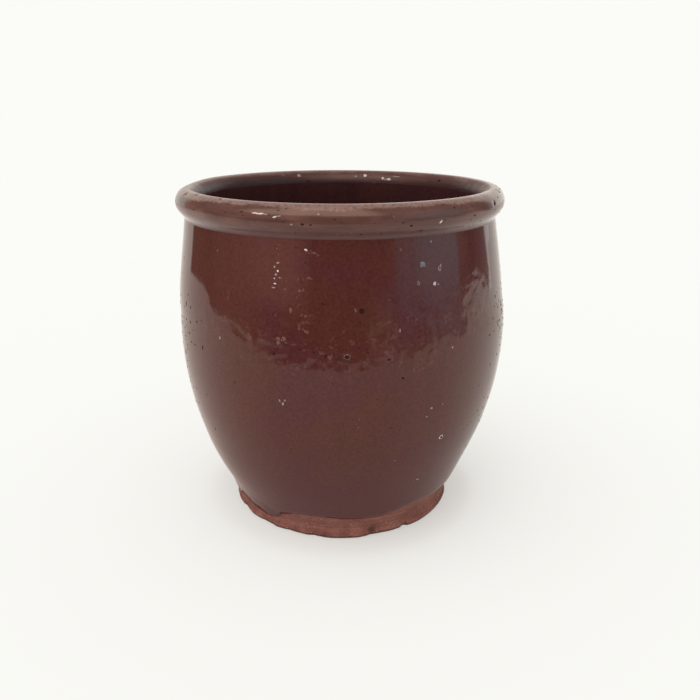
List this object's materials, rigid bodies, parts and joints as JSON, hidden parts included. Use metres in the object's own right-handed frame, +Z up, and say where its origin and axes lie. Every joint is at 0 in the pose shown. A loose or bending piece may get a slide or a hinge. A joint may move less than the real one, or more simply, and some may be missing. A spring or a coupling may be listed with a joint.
{
  "type": "crock",
  "caption": "Wheel-thrown redware crock: rounded brown-glazed wall, rolled rim for tying a cover under, and a bare clay foot; stands open and holds preserves or dry goods.",
  "frame": {"origin": "centre of the flat base, on the surface that the crock stands on", "axes": "+Z up along the turning axis, through the mouth; -Y towards the side that the picture shows"},
  "size_m": [0.16, 0.16, 0.16],
  "materials": {
    "red_clay": "matte",
    "brown_glaze": "gloss",
    "worn_rim_glaze": "worn gloss",
    "inner_glaze": "gloss"
  },
  "bodies": {
    "root": {"clay_body": "red_clay", "outer_glaze": "brown_glaze", "rim_glaze": "worn_rim_glaze", "inner_glaze": "inner_glaze"}
  },
  "joints": []
}
